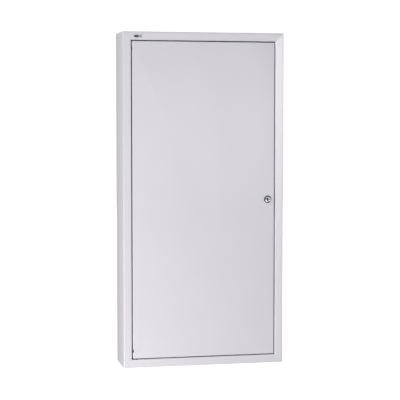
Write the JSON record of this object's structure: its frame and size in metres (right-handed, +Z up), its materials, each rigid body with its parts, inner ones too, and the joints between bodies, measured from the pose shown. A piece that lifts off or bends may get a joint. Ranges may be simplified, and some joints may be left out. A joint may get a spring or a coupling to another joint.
{
  "type": "standpipe cabinet",
  "caption": "Shallow light-grey steel wall cabinet with one inset key-locked door, holding a clamped riser and an angle hose valve with a capped outlet.",
  "frame": {"origin": "centre of the four wall fixing holes, on the outside of the back panel", "axes": "+X to the right seen from the front, +Y into the wall, +Z up; the door faces -Y"},
  "size_m": [0.49, 0.1418, 1],
  "materials": {
    "grey_powder_coat": "light grey semi-gloss powder coat, smooth",
    "zinc_plated_steel": "bright zinc plate",
    "chromed_zinc": "polished chrome plate",
    "anodised_plate": "satin, with a plain dark field",
    "black_nylon": "matt",
    "black_rubber": "matt",
    "graphite_packing": "braided, matt",
    "red_enamel": "brushed-on gloss enamel",
    "black_iron": "black, cast skin",
    "red_wheel_enamel": "gloss enamel on cast iron",
    "cast_brass": "rough-cast with machined faces"
  },
  "bodies": {
    "case": {"right_side_profile": "grey_powder_coat", "left_side_profile": "grey_powder_coat", "top_profile": "grey_powder_coat", "bottom_profile": "grey_powder_coat", "back_panel": "grey_powder_coat", "inlet_grommet": "black_rubber", "door_stop_tabs": "grey_powder_coat", "door_buffers": "black_rubber", "name_plate": "anodised_plate", "lower_pivot_pin": "zinc_plated_steel", "lower_pivot_washer": "black_nylon", "upper_pivot_bush": "black_nylon", "inlet_elbow": "black_iron", "riser_pipe": "red_enamel", "clamp_rails": "grey_powder_coat", "clamp_studs": "zinc_plated_steel", "clamp_stud_nuts": "zinc_plated_steel", "clamp_rear_halves": "zinc_plated_steel", "clamp_front_halves": "zinc_plated_steel", "clamp_linings": "black_rubber", "clamp_screws": "zinc_plated_steel", "clamp_screw_nuts": "zinc_plated_steel", "valve_body": "cast_brass", "valve_seat": "cast_brass", "valve_bonnet": "cast_brass", "stem_packing": "graphite_packing", "gland_nut": "cast_brass", "hose_adapter": "cast_brass"},
    "door": {"door_panel": "grey_powder_coat", "door_rib_left": "grey_powder_coat", "door_rib_right": "grey_powder_coat", "lower_pivot_plate": "zinc_plated_steel", "release_pin_guide": "grey_powder_coat", "release_pin_spring": "zinc_plated_steel", "lock_housing": "chromed_zinc", "lock_nut": "zinc_plated_steel"},
    "release_pin": {"release_pin": "zinc_plated_steel"},
    "lock_core": {"lock_plug": "chromed_zinc", "lock_cam": "zinc_plated_steel", "cam_washer": "zinc_plated_steel", "cam_screw": "zinc_plated_steel"},
    "disc": {"disc_facing": "black_rubber", "valve_disc": "cast_brass", "disc_nut": "cast_brass"},
    "stem": {"valve_stem": "cast_brass", "handwheel": "red_wheel_enamel", "wheel_nut": "zinc_plated_steel"},
    "cap_seal": {"cap_gasket": "black_rubber"},
    "cap": {"outlet_cap": "cast_brass"}
  },
  "joints": [
    {"name": "door_swing", "type": "hinge", "parent": "case", "child": "door", "pos_m": [-0.208, -0.1324, 0], "axis": [0, 0, -1], "range_deg": [0, 110]},
    {"name": "lock_turn", "type": "hinge", "parent": "door", "child": "lock_core", "pos_m": [0.1963, -0.1394, 0], "axis": [0, -1, 0], "range_deg": [0, 90]},
    {"name": "release_pin_pull", "type": "slide", "parent": "door", "child": "release_pin", "axis": [0, 0, -1], "range_m": [0, 0.012], "stiffness_N_per_m": 400, "springref_m": -0.01, "deforming": ["release_pin_spring"]},
    {"name": "valve_lift", "type": "slide", "parent": "case", "child": "disc", "axis": [0, 0, 1], "range_m": [0, 0.012]},
    {"name": "wheel_turn", "type": "hinge", "parent": "disc", "child": "stem", "pos_m": [-0.09, -0.058, 0.156], "axis": [0, 0, 1], "range_deg": [0, 860]},
    {"name": "cap_travel", "type": "slide", "parent": "case", "child": "cap_seal", "axis": [1, 0, 0], "range_m": [0, 0.0261]},
    {"name": "cap_turn", "type": "hinge", "parent": "cap_seal", "child": "cap", "pos_m": [-0.02, -0.058, 0.065], "axis": [1, 0, 0], "range_deg": [0, 2340]}
  ],
  "couplings": [
    {"joint": "valve_lift", "follows": "wheel_turn", "m_per_rad": 0.00079577},
    {"joint": "cap_travel", "follows": "cap_turn", "m_per_rad": 0.00063662}
  ]
}
